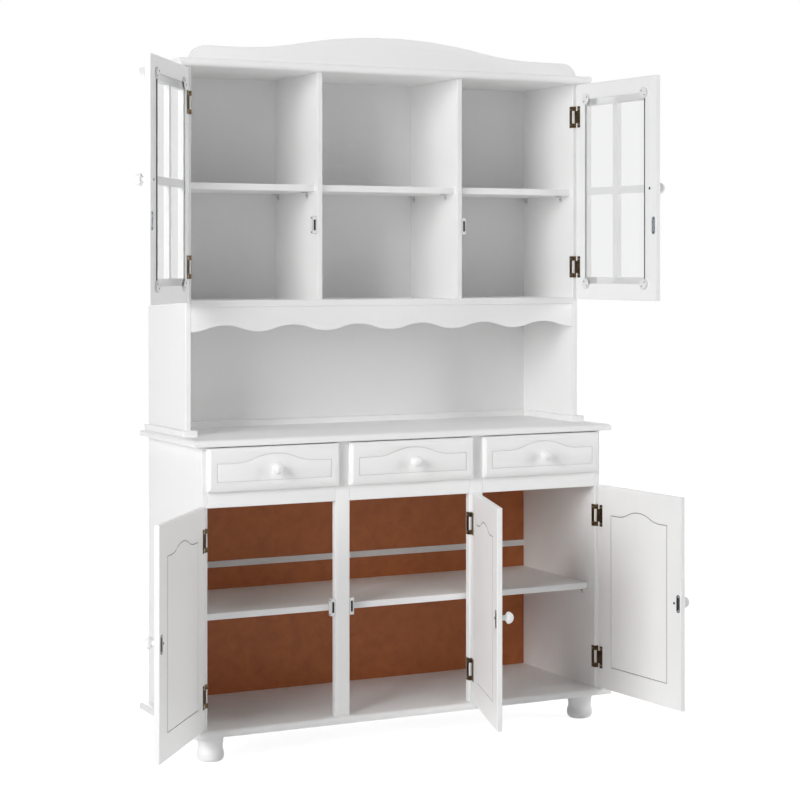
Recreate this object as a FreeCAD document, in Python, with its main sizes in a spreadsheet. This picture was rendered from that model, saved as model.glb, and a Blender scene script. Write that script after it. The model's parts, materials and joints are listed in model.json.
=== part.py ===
import FreeCAD, Part
import math
import os
import re
import Sketcher

# Display cabinet: a three-bay base with drawers and doors under a hutch with a niche,
# three compartments and two glazed doors. Millimetres, Z up, front towards -Y.
# The origin is on the floor, under the centre of the carcass.

DRIVING_SIZES = {
    # carcass
    "carcass_width": 1200,
    "carcass_depth": 400,
    "hutch_depth": 282,
    "side_thickness": 16,
    "foot_height": 70,
    "bottom_board_thickness": 18,
    "base_side_height": 726,
    "worktop_thickness": 18,
    "plinth_thickness": 16,
    "hutch_side_height": 951,
    "top_board_thickness": 20,
    "board_edge_radius": 2.5,
    "cut_overrun": 1,
    # nosings of the boards that stand out
    "side_overhang": 26,
    "bottom_board_reach": 20,
    "worktop_reach": 22,
    "top_board_reach": 35,
    "nosing_radius": 11,
    "nosing_under_radius": 3.5,
    # back panels and their joint
    "back_panel_thickness": 3,
    "rebate_width": 8,
    "back_joint_height": 361.5,
    "joining_strip_height": 17,
    "joining_strip_thickness": 3,
    # front frame of the base
    "stile_width": 41.5,
    "stile_depth": 20,
    "drawer_rail_height": 49,
    "drawer_opening_height": 109,
    # shelves
    "base_shelf_height": 275,
    "base_shelf_thickness": 17,
    "base_shelf_setback": 32,
    "shelf_corner_radius": 10,
    "hutch_shelf_height": 292,
    "hutch_shelf_thickness": 18,
    "hutch_shelf_setback": 15,
    "bracket_leg": 16,
    "bracket_width": 12,
    "bracket_thickness": 2,
    "bracket_front_inset": 61,
    "bracket_rear_inset": 11,
    # turned feet and their bolts
    "foot_side_inset": 40,
    "foot_front_inset": 43,
    "foot_bulge_radius": 35.9,
    "foot_waist_radius": 32.3,
    "foot_top_radius": 34.2,
    "foot_edge_radius": 14,
    "foot_bulge_height": 19,
    "foot_waist_height": 37,
    "foot_shoulder_height": 56,
    "foot_bolt_radius": 3,
    "foot_bolt_depth": 35,
    "foot_bolt_recess": 5,
    # strips between worktop and hutch
    "plinth_strip_width": 40,
    "plinth_strip_overhang": 12,
    "plinth_strip_reach": 18,
    "plinth_back_depth": 28,
    "plinth_edge_radius": 3,
    # hutch boards
    "niche_height": 321,
    "hutch_bottom_thickness": 18,
    "valance_height": 65,
    "valance_thickness": 16,
    "valance_setback": 1,
    "valance_rise": 17,
    "valance_low_share": 0.46,
    "crest_thickness": 16,
    "crest_reach": 7.6,
    "crest_end_inset": 10,
    "crest_end_width": 43,
    "crest_shoulder_height": 37,
    "crest_rise": 44.5,
    "crest_wave_reach": 460,
    "crest_low_share": 0.4,
    # doors
    "door_overlay": 5,
    "door_gap": 1.5,
    "door_thickness": 14.5,
    "door_edge_radius": 3,
    "door_floor_gap": 1.5,
    "door_head_gap": 2,
    "upper_left_door_angle": 125.2,
    "upper_right_door_angle": 94.1,
    "lower_left_door_angle": 128.2,
    "lower_middle_door_angle": 70.9,
    "lower_right_door_angle": 94,
    # panelled doors
    "panel_stile_width": 60,
    "panel_bottom_rail_height": 64,
    "panel_top_rail_height": 80.5,
    "panel_arch_shoulder": 33,
    "panel_arch_rise": 20,
    "panel_bevel": 2.5,
    "arch_low_share": 0.46,
    # glazed doors
    "glazed_stile_width": 55,
    "glazed_rail_height": 64,
    "muntin_width": 20,
    "muntin_thickness": 14,
    "glass_side_inset": 49.5,
    "glass_end_inset": 45.5,
    "glass_thickness": 4,
    "clip_radius": 15,
    "clip_reach": 3.5,
    "clip_cap_thickness": 1.5,
    "clip_screw_reach": 6.5,
    "clip_screw_drop": 6,
    "clip_screw_radius": 2,
    # hinges
    "hinge_height": 61,
    "upper_hinge_inset": 92.5,
    "lower_hinge_inset": 86.5,
    "pin_radius": 1.3,
    "pin_clearance": 0.05,
    "pin_standoff": 2.6,
    "pin_edge_gap": 2.8,
    "cabinet_knuckle_radius": 2.6,
    "door_knuckle_radius": 2.4,
    "knuckle_gap": 0.3,
    "hinge_arm_height": 12.5,
    "hinge_leaf_thickness": 1.2,
    "cabinet_bar_setback": 3,
    "cabinet_bar_width": 13,
    "door_bar_near": 12,
    "door_bar_width": 12,
    "hinge_screw_inset": 8,
    "screw_head_radius": 2.5,
    "screw_rim_radius": 1.5,
    "screw_head_height": 0.8,
    # knobs
    "knob_radius": 15.5,
    "knob_length": 34.5,
    "knob_widest_height": 21.5,
    "knob_foot_radius": 8.5,
    "knob_neck_radius": 6.5,
    "knob_neck_height": 9,
    "knob_inset": 30,
    "knob_screw_radius": 4,
    # magnetic catches and strike plates
    "catch_height": 46,
    "catch_setback": 1,
    "catch_depth": 14,
    "catch_width": 13,
    "catch_edge_radius": 1.5,
    "magnet_height": 28,
    "magnet_width": 5,
    "magnet_depth": 9,
    "catch_screw_spacing": 39,
    "upper_catch_height": 206,
    "lower_catch_height": 286,
    "strike_width": 14,
    "strike_height": 48,
    "strike_thickness": 1.2,
    "strike_inset": 12,
    "strike_screw_spacing": 37.5,
    # drawers
    "drawer_front_height": 113,
    "drawer_front_thickness": 18,
    "drawer_top_gap": 3,
    "drawer_front_gap": 1,
    "drawer_bevel_width": 9,
    "drawer_bevel_depth": 7,
    "groove_inset": 24,
    "groove_width": 2.5,
    "groove_depth": 2,
    "groove_side_height": 49.4,
    "groove_shoulder": 50,
    "groove_rise": 22,
    "box_height": 90,
    "box_rear_gap": 58,
    "box_board_thickness": 12,
    "box_floor_thickness": 3,
    "box_floor_rise": 8,
    "box_rail_clearance": 3,
    "box_side_clearance": 0.8,
    "box_running_gap": 0.3,
    # runners inside the base
    "runner_thickness": 20,
    "runner_ledge": 24,
    "guide_reach": 5,
    "guide_height": 25,
    "rear_rail_depth": 20,
    "rear_rail_height": 30,
}

DERIVED_SIZES = {
    "left_x": "-foot_side_inset",
    "right_x": "left_x + carcass_width",
    "front_y": "-foot_front_inset",
    "back_y": "front_y + carcass_depth",
    "hutch_front_y": "back_y - hutch_depth",
    "panel_y": "back_y - back_panel_thickness",
    "inner_width": "carcass_width - side_thickness * 2",
    "inner_left_x": "left_x + side_thickness",
    "inner_right_x": "right_x - side_thickness",
    "bay_width": "(inner_width - stile_width * 2) / 3",
    "left_stile_x": "inner_left_x + bay_width",
    "right_stile_x": "left_stile_x + stile_width + bay_width",
    "base_floor_z": "foot_height + bottom_board_thickness",
    "worktop_z": "base_floor_z + base_side_height",
    "worktop_top_z": "worktop_z + worktop_thickness",
    "hutch_z": "worktop_top_z + plinth_thickness",
    "hutch_bottom_z": "hutch_z + niche_height",
    "hutch_floor_z": "hutch_bottom_z + hutch_bottom_thickness",
    "top_board_z": "hutch_z + hutch_side_height",
    "crest_z": "top_board_z + top_board_thickness",
    "rail_top_z": "worktop_z - drawer_opening_height",
    "rail_z": "rail_top_z - drawer_rail_height",
    "base_shelf_z": "base_floor_z + base_shelf_height",
    "hutch_shelf_z": "hutch_floor_z + hutch_shelf_height",
    "back_joint_z": "base_floor_z + back_joint_height",
    "left_divider_x": "left_stile_x",
    "right_divider_x": "right_stile_x + stile_width - side_thickness",
    "middle_bay_width": "right_divider_x - left_divider_x - side_thickness",
    "door_width": "bay_width + door_overlay * 2",
    "pin_inset": "door_overlay + pin_edge_gap",
    "door_back_y": "pin_standoff - door_gap",
    "door_front_y": "door_back_y - door_thickness",
    "door_free_x": "pin_edge_gap + door_width",
    "lower_door_z": "base_floor_z + door_floor_gap",
    "lower_door_height": "rail_z + door_overlay - lower_door_z",
    "upper_door_z": "hutch_floor_z - door_overlay",
    "upper_door_height": "top_board_z - door_head_gap - upper_door_z",
    "drawer_z": "worktop_z - drawer_top_gap - drawer_front_height",
    "drawer_knob_height": "drawer_front_height / 2",
    "box_z": "rail_top_z + box_rail_clearance",
    "box_inset": "guide_reach + box_side_clearance",
    "box_width": "bay_width - box_inset * 2",
    "box_depth": "panel_y - box_rear_gap - front_y + drawer_front_gap",
    "runner_z": "box_z - box_running_gap - runner_thickness",
    "runner_top_z": "runner_z + runner_thickness",
    "runner_depth": "carcass_depth - stile_depth - back_panel_thickness",
}

SCALLOPS = 6
TOUCH_SHARE = 1e-6
NAMES = set(DRIVING_SIZES) | set(DERIVED_SIZES)
WORD = re.compile(r"[a-z_]+")

document = FreeCAD.newDocument("DisplayCabinet")
sheet = document.addObject("Spreadsheet::Sheet", "Sizes")
nodes = {}


def fill_sheet():
    """Writes every size into the sheet under its own name."""
    rows = [(name, str(size)) for name, size in DRIVING_SIZES.items()]
    rows += [(name, "=" + text) for name, text in DERIVED_SIZES.items()]
    for row, (name, content) in enumerate(rows, start=1):
        sheet.set(f"A{row}", name)
        sheet.set(f"B{row}", content)
        sheet.setAlias(f"B{row}", name)
    document.recompute()


def formula(text):
    """The text with each size name pointing at the sheet."""
    return WORD.sub(lambda found: "Sizes." + found[0] if found[0] in NAMES else found[0], text)


def size(text):
    """The present value of a formula."""
    return float(sheet.evalExpression(formula(text)))


def bind(thing, **formulas):
    """Ties properties of an object to formulas."""
    for name, text in formulas.items():
        thing.setExpression(name, formula(text))


def place(thing, x="0", y="0", z="0"):
    """Ties the place of an object to formulas."""
    for axis, text in zip("xyz", (x, y, z)):
        if text != "0":
            thing.setExpression(f"Placement.Base.{axis}", formula(text))


def keep(thing):
    """Marks an object as a node, named by its label."""
    nodes[thing.Label] = thing
    return thing


def group(name, pieces, x="0", y="0", z="0"):
    """A node that holds several solids."""
    holder = document.addObject("Part::Compound", name)
    holder.Links = pieces
    place(holder, x, y, z)
    return keep(holder)


# Features of a body

DIRECTIONS = {
    "up": FreeCAD.Rotation(),
    "down": FreeCAD.Rotation(FreeCAD.Vector(1, 0, 0), 180),
    "front": FreeCAD.Rotation(FreeCAD.Vector(1, 0, 0), 90),
    "back": FreeCAD.Rotation(FreeCAD.Vector(1, 0, 0), -90),
    "right": FreeCAD.Rotation(FreeCAD.Vector(0, 1, 0), 90),
    "left": FreeCAD.Rotation(FreeCAD.Vector(0, 1, 0), -90),
}
SIDES = {
    "left": ("x", min),
    "right": ("x", max),
    "front": ("y", min),
    "back": ("y", max),
    "bottom": ("z", min),
    "top": ("z", max),
}


def add_box(body, at, extent, kind="Additive"):
    """A box in the body's own frame, from its low corner."""
    box = body.newObject(f"PartDesign::{kind}Box", f"{body.Name}_box")
    bind(box, Length=extent[0], Width=extent[1], Height=extent[2])
    place(box, *at)
    return box


def add_rod(body, at, radius, height, kind="Additive", towards="up"):
    """A cylinder in the body's own frame, from the centre of its first end."""
    rod = body.newObject(f"PartDesign::{kind}Cylinder", f"{body.Name}_rod")
    rod.Placement = FreeCAD.Placement(FreeCAD.Vector(), DIRECTIONS[towards])
    bind(rod, Radius=radius, Height=height)
    place(rod, *at)
    return rod


def edges_at(shape, places):
    """Names of the edges that lie at the named sides, such as 'front top'."""
    bounds = shape.BoundBox
    reach = bounds.DiagonalLength * TOUCH_SHARE
    limits = {
        "x": (bounds.XMin, bounds.XMax),
        "y": (bounds.YMin, bounds.YMax),
        "z": (bounds.ZMin, bounds.ZMax),
    }
    found = []
    for number, edge in enumerate(shape.Edges, start=1):
        middle = edge.valueAt((edge.FirstParameter + edge.LastParameter) / 2)
        points = [vertex.Point for vertex in edge.Vertexes] + [middle]
        for words in places:
            sides = [SIDES[word] for word in words.split()]
            if all(
                abs(getattr(point, axis) - choose(limits[axis])) < reach
                for axis, choose in sides
                for point in points
            ):
                found.append(f"Edge{number}")
                break
    return found


def round_edges(body, radius, *places):
    """Rounds the edges of the body at the named sides."""
    tip = body.Tip
    document.recompute([tip])
    rounding = body.newObject("PartDesign::Fillet", f"{body.Name}_rounding")
    rounding.Base = (tip, edges_at(tip.Shape, places))
    bind(rounding, Radius=radius)
    return body


def bevel_edges(body, width, *places):
    """Bevels the edges of the body at the named sides."""
    tip = body.Tip
    document.recompute([tip])
    bevel = body.newObject("PartDesign::Chamfer", f"{body.Name}_bevel")
    bevel.Base = (tip, edges_at(tip.Shape, places))
    bind(bevel, Size=width)
    return body


def outline(body, role, steps):
    """A closed sketch on an origin plane of the body. A step is the point that it goes to,
    and an arc adds its radius and the way that it turns."""
    sketch = body.newObject("Sketcher::SketchObject", f"{body.Name}_outline")
    plane = next(part for part in body.Origin.OriginFeatures if part.Role == role)
    sketch.AttachmentSupport = [(plane, "")]
    sketch.MapMode = "FlatFace"
    start = steps[-1][:2]
    ends = []
    for step in steps:
        ends.append(draw_step(sketch, start, step))
        start = step[:2]
    for number, step in enumerate(steps):
        first, last = ends[number]
        following = ends[(number + 1) % len(steps)][0]
        geometry = number
        after = (number + 1) % len(steps)
        sketch.addConstraint(Sketcher.Constraint("Coincident", geometry, last, after, following))
        tie_point(sketch, geometry, last, step[:2])
        if len(step) > 2:
            radius = Sketcher.Constraint("Radius", geometry, size(step[2]))
            index = sketch.addConstraint(radius)
            sketch.setExpression(f"Constraints[{index}]", formula(step[2]))
    return sketch


def draw_step(sketch, start, step):
    """Draws a line or an arc, and tells which of its ends comes first and last."""
    first = FreeCAD.Vector(size(start[0]), size(start[1]), 0)
    last = FreeCAD.Vector(size(step[0]), size(step[1]), 0)
    if len(step) == 2:
        sketch.addGeometry(Part.LineSegment(first, last), False)
        return 1, 2
    radius = size(step[2])
    chord = last - first
    half = chord.Length / 2
    rise = math.sqrt(max(radius * radius - half * half, 0))
    turn = 1 if step[3] == "left" else -1
    across = FreeCAD.Vector(-chord.y, chord.x, 0).normalize() * (rise * turn)
    centre = (first + last) / 2 + across
    begin, end = (first, last) if turn > 0 else (last, first)
    angles = [math.atan2(point.y - centre.y, point.x - centre.x) for point in (begin, end)]
    circle = Part.Circle(centre, FreeCAD.Vector(0, 0, 1), radius)
    sketch.addGeometry(Part.ArcOfCircle(circle, angles[0], angles[1]), False)
    return (1, 2) if turn > 0 else (2, 1)


def tie_point(sketch, geometry, end, point):
    """Ties one end of a line or arc to its two formulas."""
    for kind, text, axis in (("DistanceX", point[0], -2), ("DistanceY", point[1], -1)):
        if text == "0":
            sketch.addConstraint(Sketcher.Constraint("PointOnObject", geometry, end, axis))
        else:
            value = size(text)
            index = sketch.addConstraint(Sketcher.Constraint(kind, -1, 1, geometry, end, value))
            sketch.setExpression(f"Constraints[{index}]", formula(text))


def arch_steps(low, high, base, rise, share, heading):
    """A wave from one shoulder over its peak to the other: a hollow arc, a crown arc and a
    hollow arc, tangent to each other and level at the shoulders and the peak."""
    half = f"(({high}) - ({low})) / 2"
    whole = f"(({half}) * ({half}) + {rise} * {rise}) / (2 * {rise})"
    hollow = f"{whole} * {share}"
    crown = f"{whole} * (1 - {share})"
    middle = f"({base}) + {rise} * {share}"
    near = f"({low}) + ({half}) * {share}"
    far = f"({high}) - ({half}) * {share}"
    if heading == "right":
        return [
            (near, middle, hollow, "left"),
            (far, middle, crown, "right"),
            (high, base, hollow, "left"),
        ]
    return [
        (far, middle, hollow, "right"),
        (near, middle, crown, "left"),
        (low, base, hollow, "right"),
    ]


# Kinds of piece


def make_body(name, x="0", y="0", z="0", towards="up"):
    """An empty body at its place."""
    body = document.addObject("PartDesign::Body", name)
    body.Placement = FreeCAD.Placement(FreeCAD.Vector(), DIRECTIONS[towards])
    place(body, x, y, z)
    return body


def board(name, at, extent):
    """A rectangular board from its low corner."""
    body = make_body(name, *at)
    add_box(body, ("0", "0", "0"), extent)
    return body


def cut_out(name, at, steps, thickness):
    """An upright board, sawn to an outline that is seen from the front."""
    body = make_body(name, *at)
    sketch = outline(body, "XZ_Plane", steps)
    pad = body.newObject("PartDesign::Pad", f"{name}_pad")
    pad.Profile = (sketch, [""])
    pad.Reversed = True
    bind(pad, Length=thickness)
    return body


def turned(name, at, steps, role="XZ_Plane"):
    """A piece turned about the upright axis of its outline."""
    body = make_body(name, *at)
    sketch = outline(body, role, steps)
    turning = body.newObject("PartDesign::Revolution", f"{name}_turning")
    turning.Profile = (sketch, [""])
    turning.ReferenceAxis = (sketch, ["V_Axis"])
    turning.Angle = 360
    return body


def screw_head(name, at, towards, radius="screw_head_radius"):
    """A low screw head on a face."""
    body = make_body(name, *at, towards=towards)
    head = body.newObject("PartDesign::AdditiveCone", f"{name}_head")
    bind(head, Radius1=radius, Radius2="screw_rim_radius", Height="screw_head_height")
    return body


# Base


def make_side(name, side, depth, front, height, z):
    """A side board with a rebate for the back panel at its inner rear edge."""
    x = "left_x" if side == "left" else "inner_right_x"
    body = board(name, (x, front, z), ("side_thickness", depth, height))
    cut_x = "side_thickness - rebate_width" if side == "left" else "-cut_overrun"
    add_box(
        body,
        (cut_x, f"{depth} - back_panel_thickness", "-cut_overrun"),
        (
            "rebate_width + cut_overrun",
            "back_panel_thickness + cut_overrun",
            f"{height} + cut_overrun * 2",
        ),
        "Subtractive",
    )
    keep(round_edges(body, "board_edge_radius", "front left", "front right"))


def foot_places():
    """The four centres of the feet."""
    for front in (True, False):
        for left in (True, False):
            x = "left_x + foot_side_inset" if left else "right_x - foot_side_inset"
            y = "front_y + foot_front_inset" if front else "back_y - foot_front_inset"
            yield x, y


def make_bottom_board():
    """The bottom board, with a hole over each foot for its bolt."""
    body = board(
        "base_bottom_board",
        ("left_x - side_overhang", "front_y - bottom_board_reach", "foot_height"),
        (
            "carcass_width + side_overhang * 2",
            "carcass_depth + bottom_board_reach",
            "bottom_board_thickness",
        ),
    )
    for x, y in foot_places():
        add_rod(
            body,
            (
                f"{x} - left_x + side_overhang",
                f"{y} - front_y + bottom_board_reach",
                "-cut_overrun",
            ),
            "foot_bolt_radius",
            "bottom_board_thickness + cut_overrun * 2",
            "Subtractive",
        )
    round_edges(body, "nosing_radius", "front top", "left top", "right top")
    keep(round_edges(body, "nosing_under_radius", "front bottom", "left bottom", "right bottom"))


def make_worktop():
    body = board(
        "worktop",
        ("left_x - side_overhang", "front_y - worktop_reach", "worktop_z"),
        (
            "carcass_width + side_overhang * 2",
            "carcass_depth + worktop_reach",
            "worktop_thickness",
        ),
    )
    round_edges(body, "nosing_radius", "front top", "left top", "right top")
    keep(round_edges(body, "nosing_under_radius", "front bottom", "left bottom", "right bottom"))


def make_feet():
    """Turned feet: a rounded bulge, a waist and a slight shoulder, bored for the bolt."""
    waist_x = "(foot_bulge_radius + foot_waist_radius) / 2"
    waist_z = "(foot_bulge_height + foot_waist_height) / 2"
    shoulder_x = "(foot_waist_radius + foot_top_radius) / 2"
    shoulder_z = "(foot_waist_height + foot_shoulder_height) / 2"
    lower = bend_radius("foot_waist_height - foot_bulge_height", "foot_bulge_radius - foot_waist_radius")
    upper = bend_radius("foot_shoulder_height - foot_waist_height", "foot_top_radius - foot_waist_radius")
    steps = [
        ("foot_bulge_radius - foot_edge_radius", "0"),
        ("foot_bulge_radius", "foot_edge_radius", "foot_edge_radius", "left"),
        ("foot_bulge_radius", "foot_bulge_height"),
        (waist_x, waist_z, lower, "left"),
        ("foot_waist_radius", "foot_waist_height", lower, "right"),
        (shoulder_x, shoulder_z, upper, "right"),
        ("foot_top_radius", "foot_shoulder_height", upper, "left"),
        ("foot_top_radius", "foot_height"),
        ("foot_bolt_radius", "foot_height"),
        ("foot_bolt_radius", "foot_height - foot_bolt_depth"),
        ("0", "foot_height - foot_bolt_depth"),
        ("0", "0"),
    ]
    feet = [turned(f"foot_{n}", (x, y, "0"), steps) for n, (x, y) in enumerate(foot_places())]
    group("bun_feet", feet)


def bend_radius(run, offset):
    """The radius of two equal tangent arcs that step sideways by the offset over the run."""
    return f"((({run}) / 2) * (({run}) / 2) + (({offset}) / 2) * (({offset}) / 2)) / ({offset})"


def make_foot_bolts():
    """Bolts that hold the feet, sunk below the face of the bottom board."""
    bolts = []
    for number, (x, y) in enumerate(foot_places()):
        bolt = make_body(f"foot_bolt_{number}", x, y, "foot_height - foot_bolt_depth")
        height = "foot_bolt_depth + bottom_board_thickness - foot_bolt_recess"
        add_rod(bolt, ("0", "0", "0"), "foot_bolt_radius", height)
        bolts.append(bolt)
    group("foot_bolts", bolts)


def bay_x(number):
    """The left of a bay of the base, counted from the left."""
    return f"inner_left_x + (bay_width + stile_width) * {number}"


def make_front_frame():
    """Two stiles from the bottom board to the worktop, and the rails under the drawers."""
    stiles = []
    for name, x in (("left_stile", "left_stile_x"), ("right_stile", "right_stile_x")):
        stile = board(
            name, (x, "front_y", "base_floor_z"), ("stile_width", "stile_depth", "base_side_height")
        )
        stiles.append(round_edges(stile, "board_edge_radius", "front left", "front right"))
    group("front_stiles", stiles)
    rails = []
    for number in range(3):
        rail = board(
            f"drawer_rail_{number}",
            (bay_x(number), "front_y", "rail_z"),
            ("bay_width", "stile_depth", "drawer_rail_height"),
        )
        rails.append(round_edges(rail, "board_edge_radius", "front bottom"))
    group("drawer_rails", rails)


def make_drawer_runners():
    """Boards that carry the drawers, guides beside the boxes, and the rail at their rear."""
    rear_y = "panel_y - rear_rail_depth"
    pieces = [
        board(
            "rear_rail",
            ("inner_left_x", rear_y, "runner_z - rear_rail_height"),
            ("inner_width", "rear_rail_depth", "rear_rail_height"),
        )
    ]
    widths = {
        "left": ("inner_left_x", "runner_ledge", "guide_reach", "inner_left_x"),
        "middle_left": (
            "left_stile_x - runner_ledge",
            "stile_width + runner_ledge * 2",
            "stile_width + guide_reach * 2",
            "left_stile_x - guide_reach",
        ),
        "middle_right": (
            "right_stile_x - runner_ledge",
            "stile_width + runner_ledge * 2",
            "stile_width + guide_reach * 2",
            "right_stile_x - guide_reach",
        ),
        "right": (
            "inner_right_x - runner_ledge",
            "runner_ledge",
            "guide_reach",
            "inner_right_x - guide_reach",
        ),
    }
    y = "front_y + stile_depth"
    for name, (runner_x, runner_width, guide_width, guide_x) in widths.items():
        runner_size = (runner_width, "runner_depth", "runner_thickness")
        guide_size = (guide_width, "runner_depth", "guide_height")
        pieces.append(board(f"{name}_runner", (runner_x, y, "runner_z"), runner_size))
        pieces.append(board(f"{name}_guide", (guide_x, y, "runner_top_z"), guide_size))
    group("drawer_runners", pieces)


def make_base_back():
    """Two hardboard panels one above the other, with a strip over their joint."""
    x = "inner_left_x - rebate_width"
    width = "inner_width + rebate_width * 2"
    lower = board(
        "lower_back_panel",
        (x, "panel_y", "base_floor_z"),
        (width, "back_panel_thickness", "back_joint_height"),
    )
    upper = board(
        "upper_back_panel",
        (x, "panel_y", "back_joint_z"),
        (width, "back_panel_thickness", "base_side_height - back_joint_height"),
    )
    group("base_back_panels", [lower, upper])
    strip = board(
        "back_joining_strip",
        (
            "inner_left_x",
            "panel_y - joining_strip_thickness",
            "back_joint_z - joining_strip_height / 2",
        ),
        ("inner_width", "joining_strip_thickness", "joining_strip_height"),
    )
    keep(strip)


def make_base_shelf():
    """One shelf through the three bays, behind the stiles, with rounded front corners."""
    shelf = board(
        "base_shelf",
        ("inner_left_x", "front_y + base_shelf_setback", "base_shelf_z"),
        (
            "inner_width",
            "carcass_depth - base_shelf_setback - back_panel_thickness",
            "base_shelf_thickness",
        ),
    )
    round_edges(shelf, "shelf_corner_radius", "front left", "front right")
    keep(round_edges(shelf, "board_edge_radius", "front top", "front bottom"))


# Hutch


def make_plinth_strips():
    """Strips on the worktop: one under each side of the hutch and one along the back."""
    pieces = []
    depth = "hutch_depth + plinth_strip_reach"
    y = "hutch_front_y - plinth_strip_reach"
    places = {
        "left_plinth_strip": "left_x - plinth_strip_overhang",
        "right_plinth_strip": "right_x + plinth_strip_overhang - plinth_strip_width",
    }
    for name, x in places.items():
        strip = board(name, (x, y, "worktop_top_z"), ("plinth_strip_width", depth, "plinth_thickness"))
        edges = ("front top", "left top", "right top", "front left", "front right")
        pieces.append(round_edges(strip, "plinth_edge_radius", *edges))
    back = board(
        "back_plinth_strip",
        (
            "left_x - plinth_strip_overhang + plinth_strip_width",
            "back_y - plinth_back_depth",
            "worktop_top_z",
        ),
        (
            "carcass_width + plinth_strip_overhang * 2 - plinth_strip_width * 2",
            "plinth_back_depth",
            "plinth_thickness",
        ),
    )
    pieces.append(round_edges(back, "plinth_edge_radius", "front top"))
    group("plinth_strips", pieces)


def compartments():
    """The left and the width of the three compartments of the hutch."""
    return (
        ("inner_left_x", "bay_width"),
        ("left_divider_x + side_thickness", "middle_bay_width"),
        ("right_divider_x + side_thickness", "bay_width"),
    )


def make_hutch_boards():
    inner_depth = "hutch_depth - back_panel_thickness"
    bottom = board(
        "hutch_bottom_board",
        ("inner_left_x", "hutch_front_y", "hutch_bottom_z"),
        ("inner_width", inner_depth, "hutch_bottom_thickness"),
    )
    keep(round_edges(bottom, "board_edge_radius", "front top", "front bottom"))
    dividers = []
    for name, x in (("left_divider", "left_divider_x"), ("right_divider", "right_divider_x")):
        divider = board(
            name,
            (x, "hutch_front_y", "hutch_floor_z"),
            ("side_thickness", inner_depth, "top_board_z - hutch_floor_z"),
        )
        dividers.append(round_edges(divider, "board_edge_radius", "front left", "front right"))
    group("hutch_dividers", dividers)
    shelves = []
    for number, (x, width) in enumerate(compartments()):
        shelf = board(
            f"hutch_shelf_{number}",
            (x, "hutch_front_y + hutch_shelf_setback", "hutch_shelf_z"),
            (width, f"{inner_depth} - hutch_shelf_setback", "hutch_shelf_thickness"),
        )
        shelves.append(round_edges(shelf, "board_edge_radius", "front top", "front bottom"))
    group("hutch_shelves", shelves)
    panel = board(
        "hutch_back_panel",
        ("inner_left_x - rebate_width", "panel_y", "hutch_z"),
        ("inner_width + rebate_width * 2", "back_panel_thickness", "hutch_side_height"),
    )
    keep(panel)
    top = board(
        "hutch_top_board",
        ("left_x - side_overhang", "hutch_front_y - top_board_reach", "top_board_z"),
        (
            "carcass_width + side_overhang * 2",
            "hutch_depth + top_board_reach",
            "top_board_thickness",
        ),
    )
    round_edges(top, "nosing_radius", "front bottom", "left bottom", "right bottom")
    keep(round_edges(top, "nosing_under_radius", "front top", "left top", "right top"))


def make_valance():
    """The board under the hutch bottom, with scallops along its lower edge."""
    pitch = f"inner_width / {SCALLOPS}"
    steps = []
    for number in range(SCALLOPS):
        low = f"{pitch} * {number}" if number else "0"
        high = f"{pitch} * {number + 1}"
        steps += arch_steps(low, high, "0", "valance_rise", "valance_low_share", "right")
    steps += [("inner_width", "valance_height"), ("0", "valance_height"), ("0", "0")]
    valance = cut_out(
        "valance",
        ("inner_left_x", "hutch_front_y + valance_setback", "hutch_bottom_z - valance_height"),
        steps,
        "valance_thickness",
    )
    keep(valance)


def make_crest():
    """The shaped board on the top board: rounded ends, level shoulders and a long wave."""
    length = "carcass_width - crest_end_inset * 2"
    shoulder = "crest_shoulder_height"
    end_radius = (
        "(crest_end_width * crest_end_width + crest_shoulder_height * crest_shoulder_height)"
        " / (2 * crest_shoulder_height)"
    )
    low = f"({length}) / 2 - crest_wave_reach"
    high = f"({length}) / 2 + crest_wave_reach"
    steps = [
        (length, "0"),
        (f"{length} - crest_end_width", shoulder, end_radius, "left"),
        (high, shoulder),
    ]
    steps += arch_steps(low, high, shoulder, "crest_rise", "crest_low_share", "left")
    steps += [("crest_end_width", shoulder), ("0", "0", end_radius, "left")]
    crest = cut_out(
        "crest_board",
        ("left_x + crest_end_inset", "hutch_front_y - crest_reach", "crest_z"),
        steps,
        "crest_thickness",
    )
    keep(crest)


# Shelf supports


def make_bracket(name, x, y, z, wall):
    """A small angle under a shelf, with one screw into the wall and one into the shelf."""
    leg_x = "0" if wall == "left" else "-bracket_leg"
    post_x = "0" if wall == "left" else "-bracket_thickness"
    bracket = make_body(name, x, y, z)
    add_box(
        bracket,
        (leg_x, "0", "-bracket_thickness"),
        ("bracket_leg", "bracket_width", "bracket_thickness"),
    )
    add_box(
        bracket,
        (post_x, "0", "-bracket_leg"),
        ("bracket_thickness", "bracket_width", "bracket_leg"),
    )
    sign = "+" if wall == "left" else "-"
    facing = "right" if wall == "left" else "left"
    middle = "(bracket_leg + bracket_thickness) / 2"
    centre_y = f"{y} + bracket_width / 2"
    wall_screw = screw_head(
        f"{name}_wall_screw",
        (f"{x} {sign} bracket_thickness", centre_y, f"{z} - {middle}"),
        facing,
    )
    shelf_screw = screw_head(
        f"{name}_shelf_screw",
        (f"{x} {sign} {middle}", centre_y, f"{z} - bracket_thickness"),
        "down",
    )
    return [bracket, wall_screw, shelf_screw]


def make_shelf_supports():
    pieces = []
    spans = [(x, width, "hutch_front_y", "hutch_shelf_z") for x, width in compartments()]
    spans.append(("inner_left_x", "inner_width", "front_y", "base_shelf_z"))
    for number, (x, width, front, z) in enumerate(spans):
        for wall, wall_x in (("left", x), ("right", f"{x} + {width}")):
            for row, y in (
                ("front", f"{front} + bracket_front_inset"),
                ("rear", "panel_y - bracket_rear_inset - bracket_width"),
            ):
                pieces += make_bracket(f"support_{number}_{wall}_{row}", wall_x, y, z, wall)
    group("shelf_supports", pieces)


# Doors. Each door is drawn about its hinge pin, closed, and is then turned open.


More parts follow.
